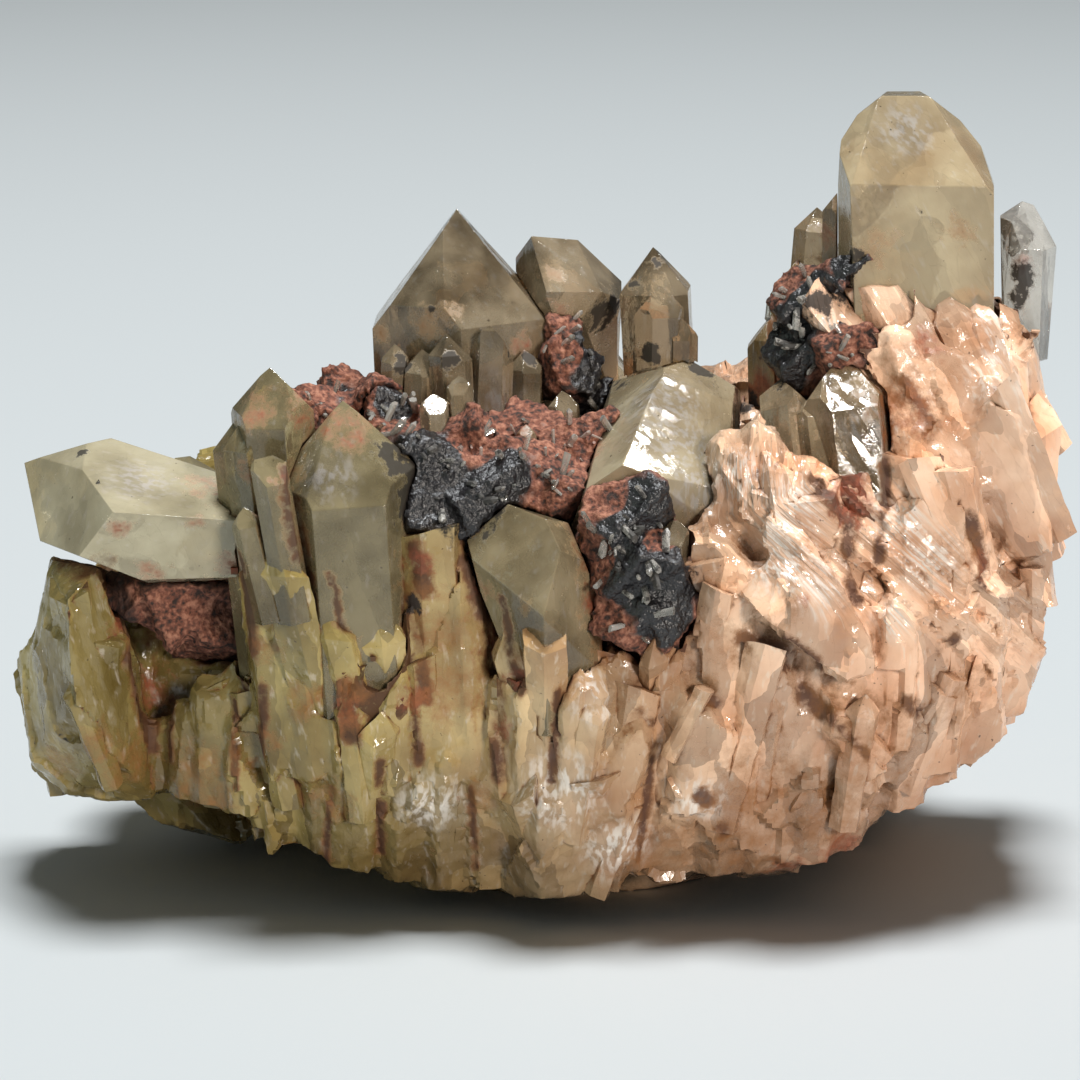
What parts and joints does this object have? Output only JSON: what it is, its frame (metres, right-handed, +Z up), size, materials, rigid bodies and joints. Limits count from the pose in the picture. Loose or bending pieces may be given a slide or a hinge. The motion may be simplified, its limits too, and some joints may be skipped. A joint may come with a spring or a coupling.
{
  "type": "quartz crystal cluster",
  "caption": "Hand-sized cluster of milky, smoky and clear quartz points grown on a columnar quartz mass, stained with red iron oxide and crusted with black oxide in the valley.",
  "frame": {"origin": "centre of the bounding box, on the plane of the flat resting spot", "axes": "+X along the long side, towards the tall right-hand crystal; -Y is the front with the leaning columns; +Z up"},
  "size_m": [0.1668, 0.0908, 0.1257],
  "materials": {
    "milky_quartz": "milky, glossy facets with a frosted bloom",
    "smoky_quartz": "clear to smoky, glossy facets",
    "rose_beige_quartz": "milky, rough, iron stained",
    "clear_quartz": "clear, glossy facets",
    "red_oxide_crust": "dull, grainy",
    "black_oxide_crust": "half gloss, lumpy"
  },
  "bodies": {
    "root": {"tall_point": "smoky_quartz", "right_tall_point": "milky_quartz", "bright_point": "milky_quartz", "front_centre_point": "milky_quartz", "front_left_point": "milky_quartz", "small_front_points": "milky_quartz", "coated_point": "milky_quartz", "wing_point": "milky_quartz", "wing_side_point": "milky_quartz", "third_back_points": "milky_quartz", "second_back_point": "milky_quartz", "right_clear_point": "clear_quartz", "right_side_points": "milky_quartz", "dark_coated_points": "black_oxide_crust", "grey_block_points": "milky_quartz", "valley_point_1": "smoky_quartz", "valley_point_2": "smoky_quartz", "valley_point_3": "smoky_quartz", "valley_point_4": "smoky_quartz", "valley_point_5": "smoky_quartz", "valley_point_6": "smoky_quartz", "valley_point_7": "smoky_quartz", "back_point_1": "milky_quartz", "back_point_2": "milky_quartz", "back_point_3": "milky_quartz", "back_point_4": "milky_quartz", "back_point_5": "milky_quartz", "back_point_6": "milky_quartz", "black_crust": "black_oxide_crust", "valley_crust": "red_oxide_crust", "ridge_crust": "red_oxide_crust", "right_crust": "red_oxide_crust", "cavity_crust": "red_oxide_crust", "shoulder_crust": "red_oxide_crust", "quartz_mass": "rose_beige_quartz"}
  },
  "joints": []
}
